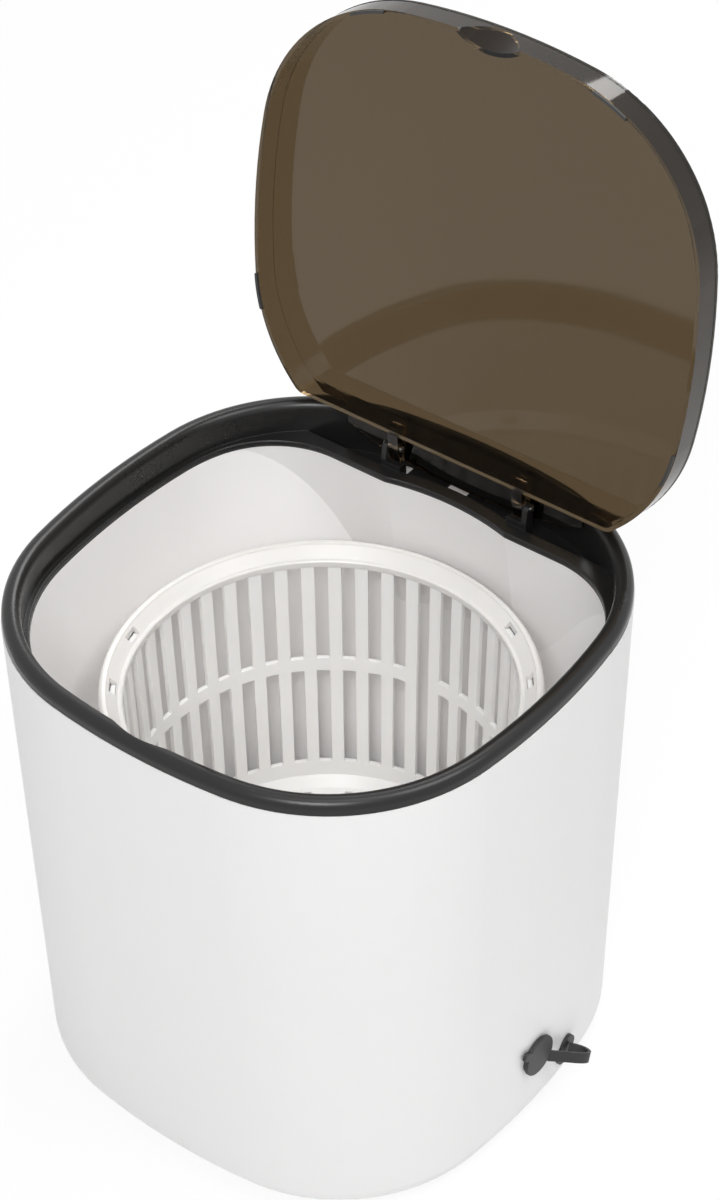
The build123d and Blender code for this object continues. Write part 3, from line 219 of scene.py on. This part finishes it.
def smokedPlate(name, look):
    # clear smoked plastic that light passes through, with the slight waviness of a moulded sheet
    r = Finish(name)
    wave = r.noise(smoked["waveScale"])
    streak = r.noise(smoked["streakScale"], detail=3.0, roughness=0.55, stretch=smoked["streakStretch"])
    dark, light = 1 - smoked["waveTint"], 1 + smoked["waveTint"]
    return r.finish(
        Base_Color=r.mixed(wave, shade(look["colour"], dark), shade(look["colour"], light)),
        Roughness=look["rough"] + smoked["streakRough"] * (streak - middle),
        Normal=r.bump(wave, smoked["waveStrength"], smoked["waveDepth"]),
        Transmission_Weight=1.0,
        IOR=look["ior"],
    )


plastics = {
    "bodyGrey": {
        "colour": (0.775, 0.775, 0.773), "vary": 0.012, "rough": 0.36, "roughVary": 0.10, "bump": 0.10,
    },
    "rimCharcoal": {
        "colour": (0.0125, 0.012, 0.012), "vary": 0.10, "rough": 0.29, "roughVary": 0.10, "bump": 0.10,
        "ior": 1.40, "edge": 0.0006,
    },
    "tubGrey": {
        "colour": (0.91, 0.896, 0.892), "vary": 0.015, "rough": 0.34, "roughVary": 0.10, "bump": 0.08,
    },
    "basketWhite": {
        "colour": (0.93, 0.913, 0.893), "vary": 0.015, "rough": 0.33, "roughVary": 0.10, "bump": 0.08,
        "milk": 0.4,
    },
    "ringWhite": {
        "colour": (0.77, 0.752, 0.732), "vary": 0.012, "rough": 0.30, "roughVary": 0.10, "bump": 0.07,
        "milk": 0.4,
    },
    "pulsatorGrey": {
        "colour": (0.60, 0.60, 0.61), "vary": 0.02, "rough": 0.36, "roughVary": 0.12, "bump": 0.10,
    },
    "panPlastic": {
        "colour": (0.30, 0.30, 0.30), "vary": 0.03, "rough": 0.50, "roughVary": 0.12, "bump": 0.20,
    },
    "housingPlastic": {
        "colour": (0.045, 0.045, 0.048), "vary": 0.08, "rough": 0.45, "roughVary": 0.12, "bump": 0.20,
    },
    "pulleyPlastic": {
        "colour": (0.05, 0.05, 0.05), "vary": 0.08, "rough": 0.42, "roughVary": 0.12, "bump": 0.15,
    },
    "boardGreen": {
        "colour": (0.02, 0.10, 0.045), "vary": 0.15, "rough": 0.35, "roughVary": 0.10, "bump": 0.15,
    },
    "leadRed": {"colour": (0.45, 0.03, 0.02), "vary": 0.05, "rough": 0.45, "roughVary": 0.10, "bump": 0.10},
    "buttonGrey": {
        "colour": (0.10, 0.10, 0.10), "vary": 0.05, "rough": 0.34, "roughVary": 0.10, "bump": 0.10,
    },
}
rubbers = {
    "softRubber": {"colour": (0.024, 0.024, 0.024), "rough": 0.62},
    "plugRubber": {"colour": (0.012, 0.012, 0.012), "rough": 0.46},
    "beltRubber": {"colour": (0.018, 0.018, 0.018), "rough": 0.72},
}
metals = {
    "screwSteel": {
        "colour": (0.62, 0.61, 0.60), "rough": 0.32, "scale": 220.0, "stretch": (1, 1, 6), "bump": 0.2,
    },
    "shaftSteel": {
        "colour": (0.66, 0.66, 0.67), "rough": 0.22, "scale": 300.0, "stretch": (1, 1, 8), "bump": 0.15,
    },
    "bearingSteel": {
        "colour": (0.60, 0.60, 0.61), "rough": 0.20, "scale": 240.0, "stretch": (1, 1, 5), "bump": 0.1,
    },
    "canZinc": {
        "colour": (0.58, 0.59, 0.60), "rough": 0.42, "scale": 90.0, "stretch": (4, 4, 1), "bump": 0.2,
    },
    "bracketZinc": {
        "colour": (0.56, 0.56, 0.55), "rough": 0.38, "scale": 120.0, "stretch": (6, 1, 1), "bump": 0.2,
    },
    "nutBrass": {
        "colour": (0.74, 0.56, 0.26), "rough": 0.30, "scale": 200.0, "stretch": (1, 1, 6), "bump": 0.1,
    },
}
lidSmoke = {"colour": (0.098, 0.068, 0.036), "rough": 0.05, "ior": 1.38}

finishes = {"lidSmoke": smokedPlate("lidSmoke", lidSmoke)}
for recipe, looks in ((mouldedPlastic, plastics), (rubber, rubbers), (metal, metals)):
    for finishName, look in looks.items():
        finishes[finishName] = recipe(finishName, look)
print("washer: finishes mixed")

finishOf = {
    "outer_shell": "bodyGrey", "top_rim": "rimCharcoal", "rim_gasket": "softRubber", "wash_tub": "tubGrey",
    "base_pan": "panPlastic", "foot_ring": "softRubber", "base_screws": "screwSteel",
    "bearing_housing": "housingPlastic", "upper_bearing": "bearingSteel", "lower_bearing": "bearingSteel",
    "shaft_seal": "softRubber", "motor_can": "canZinc", "motor_bracket": "bracketZinc",
    "drive_screws": "screwSteel", "drive_belt": "beltRubber", "drain_sump": "housingPlastic",
    "drain_grommet": "softRubber", "plug_strap": "plugRubber", "plug_anchor": "plugRubber",
    "dc_socket": "housingPlastic", "control_board": "boardGreen", "button_bezel": "housingPlastic",
    "tact_switch": "housingPlastic", "supply_lead": "leadRed", "motor_lead": "leadRed",
    "hinge_pins": "shaftSteel", "lid_panel": "lidSmoke", "lid_bumpers": "softRubber",
    "pulsator": "pulsatorGrey", "pulsator_screw": "screwSteel", "drive_shaft": "shaftSteel",
    "circlip": "bearingSteel", "shaft_pulley": "pulleyPlastic", "pulley_nut": "nutBrass",
    "spin_basket": "basketWhite", "basket_ring": "ringWhite", "motor_shaft": "shaftSteel",
    "motor_pulley": "pulleyPlastic", "drain_plug": "plugRubber", "power_button": "buttonGrey",
    "switch_plunger": "housingPlastic",
}
for name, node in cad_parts.items():
    node.data.materials.clear()
    node.data.materials.append(finishes[finishOf[name]])
print("washer: packed nodes finished")


def makeStrap():
    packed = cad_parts["plug_strap"]
    piece = bpy.data.objects.new("bending_strap", packed.data.copy())
    bpy.context.scene.collection.objects.link(piece)
    piece.data.transform(packed.matrix_world)
    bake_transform(piece)
    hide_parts("plug_strap")


makeStrap()


# Camera, at the place and angle the photograph was taken from

view = {
    "azimuth": 38.07,
    "elevation": 40.64,
    "distance": 1.5398,
    "target": (0.005976, 0.022960, 0.258364),
    "roll": -0.017,
    "lens": 98.18,
    "sensor": 36.0,
}
azimuth, elevation = math.radians(view["azimuth"]), math.radians(view["elevation"])
flat = math.cos(elevation)
back = Vector((math.sin(azimuth) * flat, -math.cos(azimuth) * flat, math.sin(elevation)))
level = (-back).cross(Vector((0, 0, 1))).normalized()
rise = level.cross(-back)
right = math.cos(view["roll"]) * level + math.sin(view["roll"]) * rise
up = math.cos(view["roll"]) * rise - math.sin(view["roll"]) * level
lensData = bpy.data.cameras.new("photoLens")
lensData.lens = view["lens"]
lensData.sensor_width = view["sensor"]
camera = bpy.data.objects.new("photoCamera", lensData)
turn = Matrix((right, up, back)).transposed().to_4x4()
camera.matrix_world = Matrix.Translation(Vector(view["target"]) + back * view["distance"]) @ turn
bpy.context.scene.collection.objects.link(camera)
bpy.context.scene.camera = camera


# Studio: pale floor, white surroundings, soft lamps

studio = {
    "white": (1.0, 1.0, 1.0),
    "ambient": 0.36,
    "lampAim": (0, 0, 0.2),
    "lamps": [
        ("keyLamp", (0.75, -1.38, 1.85), 0.8, 29.0),
        ("sideLamp", (0.90, 0.25, 1.95), 0.8, 12.0),
        ("backLamp", (-0.45, 1.45, 1.75), 0.9, 16.0),
        ("topLamp", (0.10, -0.10, 2.20), 0.7, 4.0),
    ],
}
paper = {
    "half": 6.0,
    "colour": (0.90, 0.90, 0.90),
    "fleckScale": 18.0,
    "fleckDark": 0.985,
    "rough": 0.9,
    "specular": 0.1,
    "glow": 0.86,
}


def makeFloor(half):
    mesh = bpy.data.meshes.new("studioFloor")
    corners = [(-half, -half, 0), (half, -half, 0), (half, half, 0), (-half, half, 0)]
    mesh.from_pydata(corners, [], [(0, 1, 2, 3)])
    floor = bpy.data.objects.new("studioFloor", mesh)
    bpy.context.scene.collection.objects.link(floor)
    r = Finish("studioPaper")
    fleck = r.noise(paper["fleckScale"], detail=4.0)
    tint = r.mixed(fleck, shade(paper["colour"], paper["fleckDark"]), paper["colour"])
    r.finish(Base_Color=tint, Roughness=paper["rough"], Specular_IOR_Level=paper["specular"])
    lit = Wire(r, r.shader.outputs[0])
    glow = r.node("ShaderNodeEmission", {}, {"Color": studio["white"], "Strength": 1.0})
    both = r.node("ShaderNodeMixShader", {}, {0: r.seenDirectly() * paper["glow"], 1: lit, 2: glow})
    r.plug(r.nodes["Material Output"].inputs["Surface"], both)
    mesh.materials.append(r.owner)


def makeSurroundings():
    # white to the camera, to reflections and through the lid, and dimmer as a light
    r = Recipe(bpy.data.worlds.new("studioWhite"))
    bpy.context.scene.world = r.owner
    r.nodes.remove(r.nodes["Background"])
    dim = r.node("ShaderNodeBackground", {}, {"Color": studio["white"], "Strength": studio["ambient"]})
    bright = r.node("ShaderNodeBackground", {}, {"Color": studio["white"], "Strength": 1.0})
    both = r.node("ShaderNodeMixShader", {}, {0: r.seenDirectly(), 1: dim, 2: bright})
    r.plug(r.nodes["World Output"].inputs["Surface"], both)


def makeLamp(name, place, size, power):
    data = bpy.data.lights.new(name, "AREA")
    data.size = size
    data.energy = power
    lamp = bpy.data.objects.new(name, data)
    lamp.location = place
    lamp.rotation_euler = (Vector(studio["lampAim"]) - Vector(place)).to_track_quat("-Z", "Y").to_euler()
    bpy.context.scene.collection.objects.link(lamp)


makeFloor(paper["half"])
makeSurroundings()
for lampName, lampPlace, lampSize, lampPower in studio["lamps"]:
    makeLamp(lampName, lampPlace, lampSize, lampPower)
bpy.context.scene.view_settings.view_transform = "Standard"
print("washer: camera and studio set")

bpy.context.view_layer.update()
